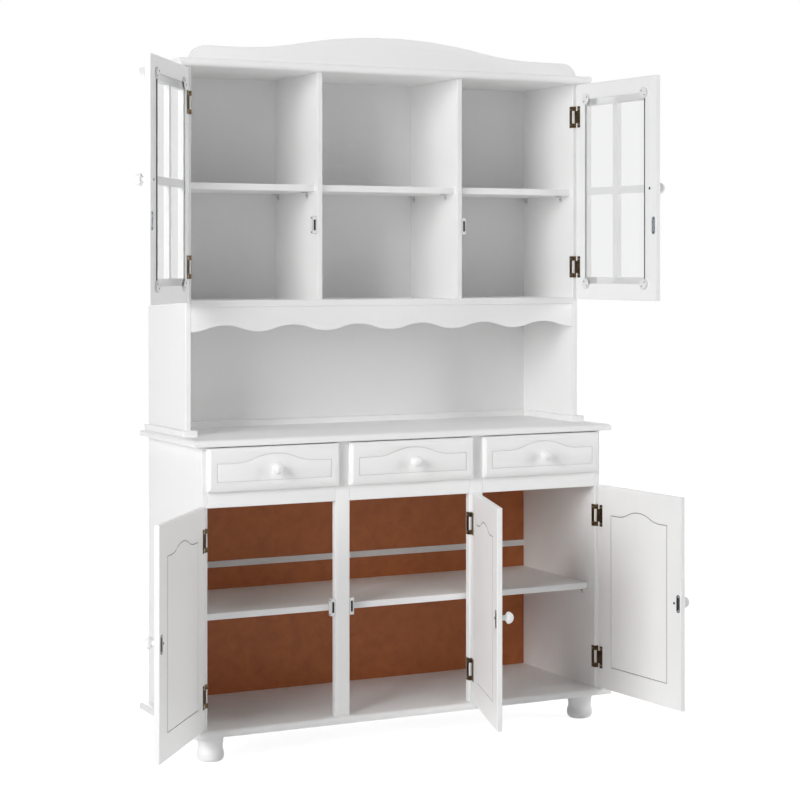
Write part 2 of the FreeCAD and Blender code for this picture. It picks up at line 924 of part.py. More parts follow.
class Door:
    """One door: the side that it hangs on, its bay and its height."""

    def __init__(self, name, level, side, hinge_face):
        self.name = name
        self.level = level
        self.side = side
        self.hinge_face = hinge_face
        self.front = "hutch_front_y" if level == "upper" else "front_y"
        self.z = f"{level}_door_z"
        self.height = f"{level}_door_height"
        self.hinge_inset = f"{level}_hinge_inset"
        self.catch_height = f"{level}_catch_height"
        self.angle = f"{name}_angle"

    def pin(self):
        """The place of the hinge pin."""
        sign = "-" if self.side == "left" else "+"
        return f"{self.hinge_face} {sign} pin_inset", f"{self.front} - pin_standoff"

    def low_x(self, near, length):
        """The low x of something that starts at near from the pin and runs away from it."""
        return near if self.side == "left" else f"-({near}) - ({length})"

    def at_x(self, distance):
        """The x of a point at this distance from the pin."""
        return distance if self.side == "left" else f"-({distance})"

    def free_side(self):
        return "right" if self.side == "left" else "left"

    def hinge_heights(self):
        """The middles of the two hinges above the bottom of the door."""
        return self.hinge_inset, f"{self.height} - {self.hinge_inset}"


DOORS = (
    Door("upper_left_door", "upper", "left", "inner_left_x"),
    Door("upper_right_door", "upper", "right", "inner_right_x"),
    Door("lower_left_door", "lower", "left", "inner_left_x"),
    Door("lower_middle_door", "lower", "right", "right_stile_x"),
    Door("lower_right_door", "lower", "right", "inner_right_x"),
)


def hang(door, part, pieces):
    """A node of a door, turned open about the pin."""
    x, y = door.pin()
    node = document.addObject("Part::Compound", f"{door.name}_{part}")
    node.Links = pieces
    axis = FreeCAD.Vector(0, 0, -1) if door.side == "left" else FreeCAD.Vector(0, 0, 1)
    angle = DRIVING_SIZES[door.angle]
    node.Placement = FreeCAD.Placement(FreeCAD.Vector(), FreeCAD.Rotation(axis, angle))
    place(node, x, y, door.z)
    node.setExpression("Placement.Rotation.Angle", formula(door.angle))
    keep(node)


def stick(door, name, near, width, z, height, thickness="door_thickness"):
    """An upright or level member of a door frame, flush with its front face."""
    return board(
        f"{door.name}_{name}",
        (door.low_x(near, width), "door_front_y", z),
        (width, thickness, height),
    )


def make_stiles(door, width):
    """The two outer stiles of a door, with all outer edges rounded."""
    hinge_stile = stick(door, "hinge_stile", "pin_edge_gap", width, "0", door.height)
    free_stile = stick(door, "free_stile", f"door_free_x - {width}", width, "0", door.height)
    stiles = []
    for stile, outer in ((hinge_stile, door.side), (free_stile, door.free_side())):
        ends = ("front top", "back top", "front bottom", "back bottom")
        sides = (f"front {outer}", f"back {outer}")
        stiles.append(round_edges(stile, "door_edge_radius", *sides, *ends))
    return stiles


def make_glazed_frame(door):
    """Stiles, rails and the bars that cross in front of the glass."""
    width = "glazed_stile_width"
    rail_near = f"pin_edge_gap + {width}"
    rail_width = f"door_width - {width} * 2"
    top_z = f"{door.height} - glazed_rail_height"
    top = stick(door, "top_rail", rail_near, rail_width, top_z, "glazed_rail_height")
    round_edges(top, "door_edge_radius", "front top", "back top")
    bottom = stick(door, "bottom_rail", rail_near, rail_width, "0", "glazed_rail_height")
    round_edges(bottom, "door_edge_radius", "front bottom", "back bottom")
    bar_z = f"({door.height} - muntin_width) / 2"
    half = f"({rail_width} - muntin_width) / 2"
    upright = stick(
        door,
        "upright_bar",
        f"{rail_near} + {half}",
        "muntin_width",
        "glazed_rail_height",
        f"{door.height} - glazed_rail_height * 2",
        "muntin_thickness",
    )
    bars = [upright]
    for name, near in (("hinge_bar", rail_near), ("free_bar", f"{rail_near} + {half} + muntin_width")):
        bars.append(stick(door, name, near, half, bar_z, "muntin_width", "muntin_thickness"))
    hang(door, "frame", make_stiles(door, width) + [top, bottom] + bars)


def make_glass(door):
    """One pane on the inner face of the frame."""
    width = "door_width - glass_side_inset * 2"
    pane = board(
        f"{door.name}_pane",
        (door.low_x("pin_edge_gap + glass_side_inset", width), "door_back_y", "glass_end_inset"),
        (width, "glass_thickness", f"{door.height} - glass_end_inset * 2"),
    )
    hang(door, "glass", [pane])


def make_panelled_frame(door):
    """Stiles, a bottom rail and a top rail that is arched over the panel."""
    width = "panel_stile_width"
    rail_near = f"pin_edge_gap + {width}"
    rail_width = f"door_width - {width} * 2"
    bottom = stick(door, "bottom_rail", rail_near, rail_width, "0", "panel_bottom_rail_height")
    round_edges(bottom, "door_edge_radius", "front bottom", "back bottom")
    low = "panel_arch_shoulder"
    high = f"{rail_width} - panel_arch_shoulder"
    steps = [(low, "0")]
    steps += arch_steps(low, high, "0", "panel_arch_rise", "arch_low_share", "right")
    steps += [
        (rail_width, "0"),
        (rail_width, "panel_top_rail_height"),
        ("0", "panel_top_rail_height"),
        ("0", "0"),
    ]
    top_z = f"{door.height} - panel_top_rail_height"
    place_at = (door.low_x(rail_near, rail_width), "door_front_y", top_z)
    top = cut_out(f"{door.name}_top_rail", place_at, steps, "door_thickness")
    round_edges(top, "door_edge_radius", "front top", "back top")
    hang(door, "frame", make_stiles(door, width) + [bottom, top])


def make_panel(door):
    """The arched panel, with a fine bevel all round that shows as a line at the joint."""
    width = "door_width - panel_stile_width * 2"
    shoulder = f"{door.height} - panel_top_rail_height - panel_bottom_rail_height"
    low = "panel_arch_shoulder"
    high = f"{width} - panel_arch_shoulder"
    steps = [(width, "0"), (width, shoulder), (high, shoulder)]
    steps += arch_steps(low, high, shoulder, "panel_arch_rise", "arch_low_share", "left")
    steps += [("0", shoulder), ("0", "0")]
    near = "pin_edge_gap + panel_stile_width"
    place_at = (door.low_x(near, width), "door_front_y", "panel_bottom_rail_height")
    panel = cut_out(f"{door.name}_arched_panel", place_at, steps, "door_thickness")
    bevel_edges(panel, "panel_bevel", "front", "back")
    hang(door, "panel", [panel])


def knob_steps():
    """Half the outline of a knob, which points to the front: foot, neck, cap and dome."""
    waist_run = "knob_widest_height - knob_neck_height"
    flare = "knob_radius - knob_neck_radius"
    cap = bend_radius(waist_run, flare)
    foot = bend_radius("knob_neck_height * 2", "(knob_foot_radius - knob_neck_radius) * 2")
    dome_rise = "knob_length - knob_widest_height"
    dome = f"(knob_radius * knob_radius + ({dome_rise}) * ({dome_rise})) / (2 * ({dome_rise}))"
    return [
        ("0", "0"),
        ("knob_foot_radius", "0"),
        ("knob_neck_radius", "-knob_neck_height", foot, "left"),
        (
            "(knob_radius + knob_neck_radius) / 2",
            "-(knob_widest_height + knob_neck_height) / 2",
            cap,
            "left",
        ),
        ("knob_radius", "-knob_widest_height", cap, "right"),
        ("0", "-knob_length", dome, "right"),
    ]


def make_door_knob(door):
    x = door.at_x("door_free_x - knob_inset")
    at = (x, "door_front_y", f"{door.height} / 2")
    hang(door, "knob", [turned(f"{door.name}_turned_knob", at, knob_steps(), "XY_Plane")])


def make_door_leaves(door):
    """The moving leaves of the two hinges: knuckle, tongue and bar on the back of the door."""
    tongue_height = "hinge_height - (hinge_arm_height + knuckle_gap) * 2"
    leaf_y = "door_back_y"
    leaves = []
    for number, middle in enumerate(door.hinge_heights()):
        leaf = make_body(f"{door.name}_leaf_{number}", "0", "0", f"{middle} - hinge_height / 2")
        low = "hinge_arm_height + knuckle_gap"
        add_rod(leaf, ("0", "0", low), "door_knuckle_radius", tongue_height)
        add_box(
            leaf,
            (door.low_x("0", "door_bar_near"), leaf_y, low),
            ("door_bar_near", "hinge_leaf_thickness", tongue_height),
        )
        add_box(
            leaf,
            (door.low_x("door_bar_near", "door_bar_width"), leaf_y, "0"),
            ("door_bar_width", "hinge_leaf_thickness", "hinge_height"),
        )
        add_rod(
            leaf,
            ("0", "0", f"{low} - cut_overrun"),
            "pin_radius + pin_clearance",
            f"{tongue_height} + cut_overrun * 2",
            "Subtractive",
        )
        leaves.append(leaf)
        screw_x = door.at_x("door_bar_near + door_bar_width / 2")
        screw_y = f"{leaf_y} + hinge_leaf_thickness"
        for end, offset in (("low", "hinge_screw_inset"), ("high", "hinge_height - hinge_screw_inset")):
            screw_z = f"{middle} - hinge_height / 2 + {offset}"
            name = f"{door.name}_leaf_{number}_{end}_screw"
            leaves.append(screw_head(name, (screw_x, screw_y, screw_z), "back"))
    hang(door, "hinge_leaves", leaves)


def make_door_fixings(door):
    """The strike plate with its screws, the screw of the knob and the clips of the glass."""
    screw_x = door.at_x("door_free_x - strike_inset")
    plate_name = f"{door.name}_strike_plate"
    plate = make_body(plate_name, screw_x, "door_back_y", door.catch_height, "back")
    end_y = "(strike_height - strike_width) / 2"
    add_box(
        plate,
        ("-strike_width / 2", f"-{end_y}", "0"),
        ("strike_width", f"{end_y} * 2", "strike_thickness"),
    )
    for y in (end_y, f"-{end_y}"):
        add_rod(plate, ("0", y, "0"), "strike_width / 2", "strike_thickness")
    pieces = [plate]
    for end, sign in (("low", "-"), ("high", "+")):
        z = f"{door.catch_height} {sign} strike_screw_spacing / 2"
        place_at = (screw_x, "door_back_y + strike_thickness", z)
        pieces.append(screw_head(f"{door.name}_strike_{end}_screw", place_at, "back"))
    knob_at = (door.at_x("door_free_x - knob_inset"), "door_back_y", f"{door.height} / 2")
    pieces.append(screw_head(f"{door.name}_knob_screw", knob_at, "back", "knob_screw_radius"))
    if door.level == "upper":
        pieces += make_glass_clips(door)
    hang(door, "fixings", pieces)


def make_glass_clips(door):
    """A round clip over each corner of the pane, with a screw in the rail and one in the
    stile. Its low side is cut away where the pane lies under it."""
    width = "door_width - glass_side_inset * 2"
    height = f"{door.height} - glass_end_inset * 2"
    near = "pin_edge_gap + glass_side_inset"
    pieces = []
    for side, corner, inward in (("near", near, "+"), ("far", f"{near} + {width}", "-")):
        outward = "-" if inward == "+" else "+"
        for end, z, along in (
            ("low", "glass_end_inset", "+"),
            ("high", f"glass_end_inset + {height}", "-"),
        ):
            back = "-" if along == "+" else "+"
            name = f"{door.name}_{side}_{end}_clip"
            x = f"{corner} {inward} clip_reach"
            clip = make_body(name, door.at_x(x), "door_back_y", z, "back")
            add_rod(clip, ("0", "0", "0"), "clip_radius", "glass_thickness + clip_cap_thickness")
            pane_on_right = (side == "near") == (door.side == "left")
            cut_x = "-clip_reach" if pane_on_right else "clip_reach - clip_radius * 2"
            cut_y = "-clip_radius * 2" if end == "low" else "0"
            add_box(
                clip,
                (cut_x, cut_y, "-cut_overrun"),
                ("clip_radius * 2", "clip_radius * 2", "cut_overrun + glass_thickness"),
                "Subtractive",
            )
            pieces.append(clip)
            screw_y = "door_back_y + glass_thickness + clip_cap_thickness"
            spots = (
                ("rail", f"{x} {inward} clip_screw_reach", f"{z} {back} clip_screw_drop"),
                ("stile", f"{x} {outward} clip_screw_reach", f"{z} {along} clip_screw_drop"),
            )
            for kind, screw_x, screw_z in spots:
                place_at = (door.at_x(screw_x), screw_y, screw_z)
                screw_name = f"{name}_{kind}_screw"
                pieces.append(screw_head(screw_name, place_at, "back", "clip_screw_radius"))
    return pieces


def make_doors():
    for door in DOORS:
        if door.level == "upper":
            make_glazed_frame(door)
            make_glass(door)
        else:
            make_panelled_frame(door)
            make_panel(door)
        make_door_knob(door)
        make_door_leaves(door)
        make_door_fixings(door)


# Fixed halves of the hinges and catches


def make_cabinet_hinge(door, number, middle):
    """A fixed leaf: a bar on the inner face of the bay, two arms round its front edge to
    the knuckles, and the pin."""
    x, y = door.pin()
    z = f"{door.z} + {middle} - hinge_height / 2"
    name = f"{door.name}_fixed_leaf_{number}"
    leaf = make_body(name, x, y, z)
    wrap_y = "pin_standoff - hinge_leaf_thickness"
    add_box(
        leaf,
        (
            door.low_x("pin_inset", "hinge_leaf_thickness"),
            "pin_standoff + cabinet_bar_setback",
            "0",
        ),
        ("hinge_leaf_thickness", "cabinet_bar_width", "hinge_height"),
    )
    for low in ("0", "hinge_height - hinge_arm_height"):
        add_box(
            leaf,
            (door.low_x("pin_inset", "hinge_leaf_thickness"), wrap_y, low),
            (
                "hinge_leaf_thickness",
                "hinge_leaf_thickness + cabinet_bar_setback + cabinet_bar_width / 2",
                "hinge_arm_height",
            ),
        )
        add_box(
            leaf,
            (door.low_x("0", "pin_inset + hinge_leaf_thickness"), wrap_y, low),
            ("pin_inset + hinge_leaf_thickness", "hinge_leaf_thickness", "hinge_arm_height"),
        )
        add_rod(leaf, ("0", "0", low), "cabinet_knuckle_radius", "hinge_arm_height")
    add_rod(
        leaf,
        ("0", "0", "-cut_overrun"),
        "pin_radius",
        "hinge_height + cut_overrun * 2",
        "Subtractive",
    )
    pin = make_body(f"{name}_pin", x, y, z)
    add_rod(pin, ("0", "0", "0"), "pin_radius", "hinge_height")
    pieces = [leaf, pin]
    facing = door.free_side()
    sign = "+" if door.side == "left" else "-"
    for end, offset in (("low", "hinge_screw_inset"), ("high", "hinge_height - hinge_screw_inset")):
        place_at = (
            f"{x} {sign} (pin_inset + hinge_leaf_thickness)",
            f"{y} + pin_standoff + cabinet_bar_setback + cabinet_bar_width / 2",
            f"{z} + {offset}",
        )
        pieces.append(screw_head(f"{name}_{end}_screw", place_at, facing))
    return pieces


def make_cabinet_hinges():
    pieces = []
    for door in DOORS:
        for number, middle in enumerate(door.hinge_heights()):
            pieces += make_cabinet_hinge(door, number, middle)
    group("cabinet_hinges", pieces)


def make_catches():
    """A magnetic catch for each door, on the bay's face at its free edge."""
    housings = []
    metal = []
    for door in DOORS:
        sign = "+" if door.side == "left" else "-"
        face = f"{door.hinge_face} {sign} bay_width"
        low = f"{face} - catch_width" if door.side == "left" else face
        middle = f"{door.z} + {door.catch_height}"
        name = f"{door.name}_catch"
        housing = board(
            name,
            (low, f"{door.front} + catch_setback", f"{middle} - catch_height / 2"),
            ("catch_width", "catch_depth", "catch_height"),
        )
        round_edges(housing, "catch_edge_radius", "left top", "right top", "left bottom", "right bottom")
        slot = ("(catch_width - magnet_width) / 2", "-cut_overrun", "(catch_height - magnet_height) / 2")
        slot_size = ("magnet_width", "magnet_depth - catch_setback + cut_overrun", "magnet_height")
        add_box(housing, slot, slot_size, "Subtractive")
        housings.append(housing)
        magnet = board(
            f"{name}_magnet",
            (f"{low} + (catch_width - magnet_width) / 2", door.front, f"{middle} - magnet_height / 2"),
            ("magnet_width", "magnet_depth", "magnet_height"),
        )
        metal.append(magnet)
        facing = "left" if door.side == "left" else "right"
        outer = low if door.side == "left" else f"{low} + catch_width"
        for end, turn in (("low", "-"), ("high", "+")):
            z = f"{middle} {turn} catch_screw_spacing / 2"
            place_at = (outer, f"{door.front} + catch_setback + catch_depth / 2", z)
            metal.append(screw_head(f"{name}_{end}_screw", place_at, facing))
    group("magnetic_catches", housings)
    group("catch_magnets", metal)


# Drawers


def groove_ring(near, shoulder):
    """An arched outline on a drawer front, this far in from its edges."""
    far = f"door_width - ({near})"
    low = "groove_inset + groove_shoulder"
    high = "door_width - groove_inset - groove_shoulder"
    steps = [(far, near), (far, shoulder), (high, shoulder)]
    steps += arch_steps(low, high, shoulder, "groove_rise", "arch_low_share", "left")
    steps += [(near, shoulder), (near, near)]
    return steps


def make_drawer_front(name):
    """The front: bevelled all round, with a fine arched groove."""
    body = board(
        f"{name}_front_board",
        ("-door_overlay", "-drawer_front_gap - drawer_front_thickness", "drawer_z"),
        ("door_width", "drawer_front_thickness", "drawer_front_height"),
    )
    tip = body.Tip
    document.recompute([tip])
    bevel = body.newObject("PartDesign::Chamfer", f"{body.Name}_bevel")
    bevel.Base = (tip, edges_at(tip.Shape, ("front",)))
    bevel.ChamferType = "Two distances"
    bind(bevel, Size="drawer_bevel_width", Size2="drawer_bevel_depth")
    shoulder = "groove_inset + groove_side_height"
    rings = (
        ("Pocket", "groove_inset", shoulder),
        ("Pad", "groove_inset + groove_width", f"{shoulder} - groove_width"),
    )
    for kind, near, height in rings:
        ring = outline(body, "XZ_Plane", groove_ring(near, height))
        feature = body.newObject(f"PartDesign::{kind}", f"{body.Name}_{kind}")
        feature.Profile = (ring, [""])
        bind(feature, Length="groove_depth")
        if kind == "Pad":
            feature.Reversed = True
    return body


def make_drawer(number, name):
    """A drawer: its front, the box behind it and its knob, from the left of its bay."""
    at = (bay_x(number), "front_y", "0")
    group(f"{name}_front", [make_drawer_front(name)], *at)
    thick = "box_board_thickness"
    inner = f"box_width - {thick} * 2"
    y = "-drawer_front_gap"
    boards = {
        "left": (("box_inset", y, "box_z"), (thick, "box_depth", "box_height")),
        "right": (
            (f"box_inset + box_width - {thick}", y, "box_z"),
            (thick, "box_depth", "box_height"),
        ),
        "near": ((f"box_inset + {thick}", y, "box_z"), (inner, thick, "box_height")),
        "far": (
            (f"box_inset + {thick}", f"{y} + box_depth - {thick}", "box_z"),
            (inner, thick, "box_height"),
        ),
        "floor": (
            (f"box_inset + {thick}", f"{y} + {thick}", "box_z + box_floor_rise"),
            (inner, f"box_depth - {thick} * 2", "box_floor_thickness"),
        ),
    }
    box = [board(f"{name}_box_{side}", low, extent) for side, (low, extent) in boards.items()]
    group(f"{name}_box", box, *at)
    knob_at = (
        "bay_width / 2",
        "-drawer_front_gap - drawer_front_thickness",
        "drawer_z + drawer_knob_height",
    )
    group(f"{name}_knob", [turned(f"{name}_turned_knob", knob_at, knob_steps(), "XY_Plane")], *at)


def make_base():
    make_side("base_side_left", "left", "carcass_depth", "front_y", "base_side_height", "base_floor_z")
    make_side("base_side_right", "right", "carcass_depth", "front_y", "base_side_height", "base_floor_z")
    make_bottom_board()
    make_worktop()
    make_front_frame()
    make_drawer_runners()
    make_base_back()
    make_base_shelf()
    make_feet()
    make_foot_bolts()


def make_hutch():
    make_plinth_strips()
    make_side("hutch_side_left", "left", "hutch_depth", "hutch_front_y", "hutch_side_height", "hutch_z")
    make_side("hutch_side_right", "right", "hutch_depth", "hutch_front_y", "hutch_side_height", "hutch_z")
    make_hutch_boards()
    make_valance()
    make_crest()
    make_shelf_supports()


def check_and_write():
    """Refuses any failed object, then writes one file for each node."""
    failed = [part.Name for part in document.Objects if {"Invalid", "Error"} & set(part.State)]
    if failed:
        raise RuntimeError(f"failed objects: {failed}")
    os.makedirs("parts", exist_ok=True)
    for name, node in nodes.items():
        shape = node.Shape
        if shape.isNull() or not shape.isValid():
            raise RuntimeError(f"bad shape: {name}")
        shape.exportStep(os.path.join("parts", f"{name}.step"))
        bounds = shape.BoundBox
        corners = (bounds.XMin, bounds.YMin, bounds.ZMin, bounds.XMax, bounds.YMax, bounds.ZMax)
        print(name, len(shape.Solids), round(shape.Volume), [round(value, 1) for value in corners])
    print(len(nodes), "nodes")


fill_sheet()
make_base()
make_hutch()
make_doors()
make_cabinet_hinges()
make_catches()
for drawer_number, drawer_name in enumerate(("left_drawer", "middle_drawer", "right_drawer")):
    make_drawer(drawer_number, drawer_name)
document.recompute()
check_and_write()
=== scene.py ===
"""Looks of a white display cabinet: materials, softened edges, floor, light and camera."""
import json
from math import pi, radians

import bmesh
import bpy
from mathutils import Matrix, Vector


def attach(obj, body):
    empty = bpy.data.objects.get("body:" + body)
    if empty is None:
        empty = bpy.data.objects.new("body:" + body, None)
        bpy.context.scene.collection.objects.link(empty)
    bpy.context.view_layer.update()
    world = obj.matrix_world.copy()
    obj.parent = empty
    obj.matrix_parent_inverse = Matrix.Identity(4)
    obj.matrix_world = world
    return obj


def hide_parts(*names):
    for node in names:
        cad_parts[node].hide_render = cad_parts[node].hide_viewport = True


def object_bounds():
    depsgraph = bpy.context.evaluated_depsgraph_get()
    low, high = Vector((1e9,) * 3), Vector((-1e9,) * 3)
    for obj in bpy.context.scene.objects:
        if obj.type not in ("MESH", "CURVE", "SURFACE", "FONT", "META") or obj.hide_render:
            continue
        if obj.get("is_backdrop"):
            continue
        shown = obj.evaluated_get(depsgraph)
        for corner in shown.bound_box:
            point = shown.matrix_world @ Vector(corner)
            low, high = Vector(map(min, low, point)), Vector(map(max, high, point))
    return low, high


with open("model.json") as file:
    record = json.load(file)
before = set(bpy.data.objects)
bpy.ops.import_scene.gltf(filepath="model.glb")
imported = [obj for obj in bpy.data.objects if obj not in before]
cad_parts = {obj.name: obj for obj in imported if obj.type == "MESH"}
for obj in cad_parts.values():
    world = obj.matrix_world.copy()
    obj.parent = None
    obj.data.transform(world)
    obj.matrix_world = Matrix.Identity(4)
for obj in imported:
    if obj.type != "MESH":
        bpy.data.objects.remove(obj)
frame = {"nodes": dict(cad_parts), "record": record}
CAD_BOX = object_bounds()
NODES = frame["nodes"]
MM = 0.001
UPPER_DOORS = ("upper_left_door", "upper_right_door")
LOWER_DOORS = ("lower_left_door", "lower_middle_door", "lower_right_door")

# Materials


class Recipe:
    """A material under construction: its node tree, shader and texture coordinates."""

    def __init__(self, name, color, **sockets):
        self.material = bpy.data.materials.new(name)
        self.material.use_nodes = True
        self.tree = self.material.node_tree
        self.shader = self.tree.nodes["Principled BSDF"]
        self.color = color
        self.shader.inputs["Base Color"].default_value = (*color, 1)
        for socket, value in sockets.items():
            self.shader.inputs[socket].default_value = value
        self.place = self.node("TexCoord").outputs["Object"]

    def node(self, kind, **sockets):
        made = self.tree.nodes.new(f"ShaderNode{kind}")
        for socket, value in sockets.items():
            made.inputs[socket].default_value = value
        return made

    def link(self, source, target):
        self.tree.links.new(source, target)

    def noise(self, scale, detail=3.0, roughness=0.5, distortion=0.0):
        """A noise whose scale is in features to the metre along x, y and z."""
        mapping = self.node("Mapping", Scale=scale)
        self.link(self.place, mapping.inputs["Vector"])
        texture = self.node(
            "TexNoise", Scale=1, Detail=detail, Roughness=roughness, Distortion=distortion
        )
        self.link(mapping.outputs["Vector"], texture.inputs["Vector"])
        return texture.outputs["Fac"]

    def ranged(self, source, low, high, start=0.3, stop=0.7):
        """The source stretched from start..stop to low..high."""
        ends = {"From Min": start, "From Max": stop, "To Min": low, "To Max": high}
        made = self.node("MapRange", **ends)
        self.link(source, made.inputs["Value"])
        return made.outputs["Result"]

    def tint(self, source, *shades, start=0.3, stop=0.7):
        """The base colour goes through these shades as the source rises."""
        ramp = self.node("ValToRGB")
        stops = ramp.color_ramp.elements
        while len(stops) < len(shades):
            stops.new(0.5)
        for number, shade in enumerate(shades):
            stops[number].position = start + (stop - start) * number / (len(shades) - 1)
            stops[number].color = (*[part * level for part, level in zip(self.color, shade)], 1)
        self.link(source, ramp.inputs["Fac"])
        self.link(ramp.outputs["Color"], self.shader.inputs["Base Color"])

    def rough(self, source, low, high):
        self.link(self.ranged(source, low, high), self.shader.inputs["Roughness"])

    def bump(self, *layers):
        """Bumps on top of each other, each a source with its strength and its height in metres."""
        below = None
        for source, strength, height in layers:
            made = self.node("Bump", Strength=strength, Distance=height)
            self.link(source, made.inputs["Height"])
            if below:
                self.link(below, made.inputs["Normal"])
            below = made.outputs["Normal"]
        self.link(below, self.shader.inputs["Normal"])


def even(level):
    return (level, level, level)


def along(axis, across, lengthwise):
    """Texture scales for a grain that runs along an axis."""
    return tuple(lengthwise if letter == axis else across for letter in "xyz")


def lacquer(axis):
    """Satin white lacquer over pine, whose grain shows faintly along an axis."""
    made = Recipe(f"white_lacquer_{axis}", (0.94, 0.94, 0.938), IOR=1.5)
    grain = made.noise(along(axis, 95, 3.2), 5, 0.6, 0.35)
    pores = made.noise(along(axis, 620, 24), 2)
    spray = made.noise(even(900), 2)
    made.tint(grain, even(0.985), even(1.0), even(0.993))
    made.rough(made.noise(even(22), 3), 0.42, 0.52)
    made.bump((grain, 0.07, 0.0003), (pores, 0.06, 0.0002), (spray, 0.05, 0.0001))
    return made.material


def hardboard():
    """Brown hardboard, smooth side out: short fibres, faint mottling, a dull sheen."""
    made = Recipe("hardboard", (0.46, 0.135, 0.036), IOR=1.46)
    mottle = made.noise(even(26), 5, 0.6, 0.6)
    fibres = made.noise((480, 480, 300), 4, 0.7, 1.2)
    mixed = made.node("Math")
    mixed.operation = "MULTIPLY_ADD"
    mixed.inputs[1].default_value = 0.45
    made.link(fibres, mixed.inputs[0])
    made.link(made.ranged(mottle, 0.12, 0.43), mixed.inputs[2])
    made.tint(mixed.outputs[0], (0.82, 0.80, 0.76), even(1.0), (1.1, 1.13, 1.2))
    made.rough(mottle, 0.42, 0.55)
    made.bump((fibres, 0.2, 0.0002))
    return made.material


def faced_board():
    """White faced hardboard: a smooth foil with the faintest texture."""
    made = Recipe("white_back_panel", (0.91, 0.91, 0.91), IOR=1.46)
    cloud = made.noise(even(6), 2)
    fine = made.noise((500, 500, 260), 3)
    made.tint(cloud, even(0.985), even(1.0))
    made.rough(cloud, 0.42, 0.5)
    made.bump((fine, 0.06, 0.0001))
    return made.material


def bare_pine():
    """Planed pine with growth rings that run along the runners."""
    made = Recipe("bare_pine", (0.72, 0.52, 0.30), IOR=1.45)
    rings = made.noise((140, 5, 140), 4, 0.55, 0.8)
    fine = made.noise((900, 30, 900), 3)
    made.tint(rings, (0.78, 0.72, 0.62), even(1.0), (1.08, 1.12, 1.2))
    made.rough(fine, 0.55, 0.7)
    made.bump((rings, 0.3, 0.0003), (fine, 0.25, 0.0002))
    return made.material


def bronze():
    """Antique bronze plate: dark patina and rubbed gold in random patches."""
    made = Recipe("aged_bronze", (0.105, 0.075, 0.043), Metallic=1.0, IOR=1.5)
    patches = made.noise(even(190), 4, 0.65, 0.4)
    brushing = made.noise((900, 900, 90), 3)
    made.tint(patches, (0.35, 0.32, 0.28), (0.8, 0.78, 0.74), (1.7, 1.6, 1.45))
    made.rough(patches, 0.32, 0.52)
    made.bump((brushing, 0.18, 0.0001), (patches, 0.2, 0.0002))
    return made.material


def steel(name, color, low, high):
    """Plated steel with fine wear."""
    made = Recipe(name, color, Metallic=1.0, IOR=1.5)
    wear = made.noise(even(240), 4, 0.6)
    scratches = made.noise((1400, 1400, 160), 3)
    made.tint(wear, even(0.78), even(1.0), even(1.12))
    made.rough(wear, low, high)
    made.bump((scratches, 0.15, 0.0001))
    return made.material


def matte(name, color, low, high):
    """A dull surface with a fine spark texture: plastic, paint or blackened metal."""
    made = Recipe(name, color, IOR=1.48)
    cloud = made.noise(even(60), 3)
    spark = made.noise(even(1500), 2)
    made.tint(cloud, even(0.97), even(1.0))
    made.rough(cloud, low, high)
    made.bump((spark, 0.12, 0.0001))
    return made.material


def clear_glass():
    """Float glass, seen through, with a faint tint, ripple and smear."""
    made = Recipe("clear_glass", (0.28, 0.31, 0.30), IOR=1.45, Alpha=0.08)
    ripple = made.noise(even(7), 2)
    smear = made.noise(even(60), 3)
    made.tint(smear, even(0.99), even(1.0))
    made.rough(smear, 0.02, 0.06)
    made.bump((ripple, 0.05, 0.0004))
    return made.material


def glass_edge(name, color):
    """A ground edge of the pane: grey with a green cast; its dark copy is painted shade."""
    made = Recipe(name, color, IOR=1.5)
    chips = made.noise((300, 300, 60), 4, 0.6)
    made.tint(chips, even(0.75), even(1.0), even(1.2))
    made.rough(chips, 0.25, 0.5)
    made.bump((chips, 0.2, 0.0002))
    return made.material


LACQUER = {axis: lacquer(axis) for axis in "xyz"}
HARDBOARD = hardboard()
FACED_BOARD = faced_board()
PINE = bare_pine()
BRONZE = bronze()
ZINC = steel("zinc_steel", (0.52, 0.56, 0.61), 0.2, 0.34)
STRIKE = steel("blackened_steel", (0.085, 0.085, 0.09), 0.35, 0.5)
DARK_SCREW = matte("dark_screw", (0.02, 0.02, 0.022), 0.4, 0.55)
BRASS_SCREW = steel("rubbed_bronze", (0.36, 0.27, 0.16), 0.28, 0.42)
MAGNET = matte("dark_magnet", (0.012, 0.012, 0.014), 0.6, 0.75)
WHITE_PLASTIC = matte("white_plastic", (0.86, 0.86, 0.86), 0.3, 0.4)
WHITE_STRIP = matte("white_strip", (0.85, 0.85, 0.85), 0.35, 0.45)
# Grey on the sloped joint around a door panel: painted shade where the joint falls into shadow
JOINT_SHADE = matte("painted_joint_shade", (0.3, 0.3, 0.295), 0.55, 0.7)
# Pale grey in the groove of a drawer front: painted shade of the groove
GROOVE_SHADE = matte("painted_groove_shade", (0.73, 0.73, 0.725), 0.5, 0.65)
GLASS = clear_glass()
# The dark pane edge is painted shade from the rebate beside the pane; the pale one is the plain
# edge
SHADED_GLASS_EDGE = glass_edge("glass_edge", (0.03, 0.036, 0.034))
PALE_EDGE = glass_edge("pale_glass_edge", (0.42, 0.45, 0.44))

GRAIN = {
    "x": (
        "base_bottom_board",
        "worktop",
        "drawer_rails",
        "base_shelf",
        "hutch_top_board",
        "crest_board",
        "hutch_bottom_board",
        "valance",
        "hutch_shelves",
        "left_drawer_front",
        "middle_drawer_front",
        "right_drawer_front",
    ),
    "y": ("plinth_strips", "left_drawer_box", "middle_drawer_box", "right_drawer_box"),
}
BY_NODE = {
    "base_back_panels": HARDBOARD,
    "hutch_back_panel": FACED_BOARD,
    "drawer_runners": PINE,
    "back_joining_strip": WHITE_STRIP,
    "foot_bolts": ZINC,
    "shelf_supports": WHITE_PLASTIC,
    "magnetic_catches": WHITE_PLASTIC,
    "catch_magnets": MAGNET,
    "cabinet_hinges": BRONZE,
}
BY_NODE.update({node: LACQUER[axis] for axis, nodes in GRAIN.items() for node in nodes})
BY_ENDING = {"_glass": GLASS, "_hinge_leaves": BRONZE, "_fixings": ZINC}


